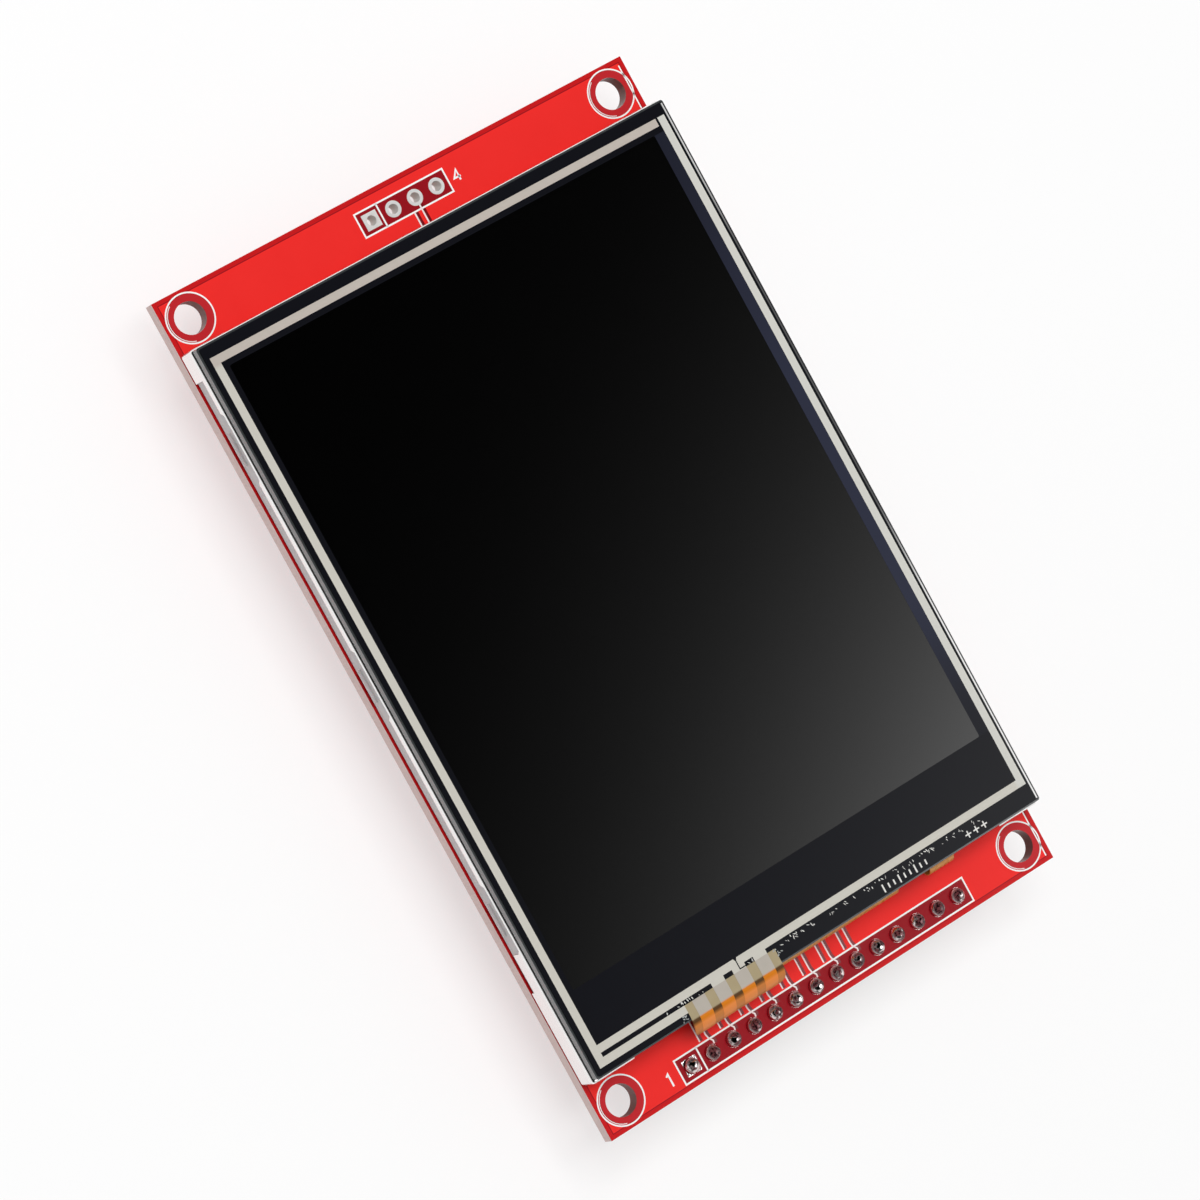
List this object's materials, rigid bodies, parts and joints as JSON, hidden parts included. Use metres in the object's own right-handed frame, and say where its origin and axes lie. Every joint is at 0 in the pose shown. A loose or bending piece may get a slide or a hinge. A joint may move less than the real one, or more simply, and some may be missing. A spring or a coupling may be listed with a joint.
{
  "type": "colour display module with resistive touch screen",
  "caption": "Flat touch display panel mounted on a narrow rectangular circuit board with screw holes at its corners, a pin header at one end and a memory card socket on the back.",
  "frame": {"origin": "centre of the four mounting holes, on the circuit board's back face", "axes": "+Z out of the display, square to the board; +Y along the board away from the pin header; +X to the right as the display is read"},
  "size_m": [0.0552, 0.0892, 0.0144],
  "materials": {
    "red_mask_board": "glossy solder mask over laminate",
    "tinned_pads": "hot tinned",
    "black_plastic": "moulded",
    "gold_pins": "gold flash",
    "solder": "bright",
    "foam_tape": "foam",
    "white_plastic": "moulded",
    "reflector": "silvered film",
    "clear_plastic": "clear",
    "diffuser_film": "frosted",
    "prism_film": "fine ribbed",
    "polyimide": "amber film",
    "led_resin": "yellow resin in white cups",
    "black_tape": "tape",
    "polarizer_film": "satin",
    "cell_glass": "polished",
    "silicon": "polished",
    "bezel_steel": "bright rolled",
    "touch_glass": "polished, cut edges",
    "touch_film": "satin hard coat",
    "border_ink": "printed",
    "silver_print": "screen printed",
    "copper_lanes": "copper under amber film",
    "socket_plastic": "moulded",
    "socket_steel": "bright rolled",
    "chip_resin": "moulded epoxy",
    "tinned_leads": "tin plated",
    "resistor_glaze": "glazed",
    "capacitor_ceramic": "fired"
  },
  "bodies": {
    "root": {"circuit_board": "red_mask_board", "header_pads": "tinned_pads", "header_strip": "black_plastic", "header_pins": "gold_pins", "header_solder": "solder", "spare_pads": "tinned_pads", "mounting_tape": "foam_tape", "backlight_frame": "white_plastic", "reflector_sheet": "reflector", "light_guide": "clear_plastic", "diffuser_sheet": "diffuser_film", "lower_prism_sheet": "prism_film", "upper_prism_sheet": "prism_film", "led_strip": "polyimide", "backlight_leds": "led_resin", "rim_tape": "black_tape", "rear_polarizer": "polarizer_film", "rear_glass": "cell_glass", "front_glass": "cell_glass", "front_polarizer": "polarizer_film", "driver_chip": "silicon", "panel_flex": "polyimide", "panel_flex_joints": "solder", "bezel_gasket": "black_tape", "steel_bezel": "bezel_steel", "touch_tape": "black_tape", "touch_glass": "touch_glass", "touch_spacer": "black_tape", "touch_film": "touch_film", "border_ink": "border_ink", "silver_conductors": "silver_print", "touch_tail": "polyimide", "touch_tail_lanes": "copper_lanes", "socket_base": "socket_plastic", "socket_shell": "socket_steel", "socket_contacts": "gold_pins", "socket_detect_switch": "gold_pins", "touch_controller": "chip_resin", "touch_controller_leads": "tinned_leads", "voltage_regulator": "chip_resin", "regulator_leads": "tinned_leads", "backlight_transistor": "chip_resin", "transistor_leads": "tinned_leads", "spare_chip_pads": "tinned_pads", "resistor_bodies": "resistor_glaze", "resistor_caps": "tinned_leads", "capacitor_bodies": "capacitor_ceramic", "capacitor_caps": "tinned_leads"}
  },
  "joints": []
}
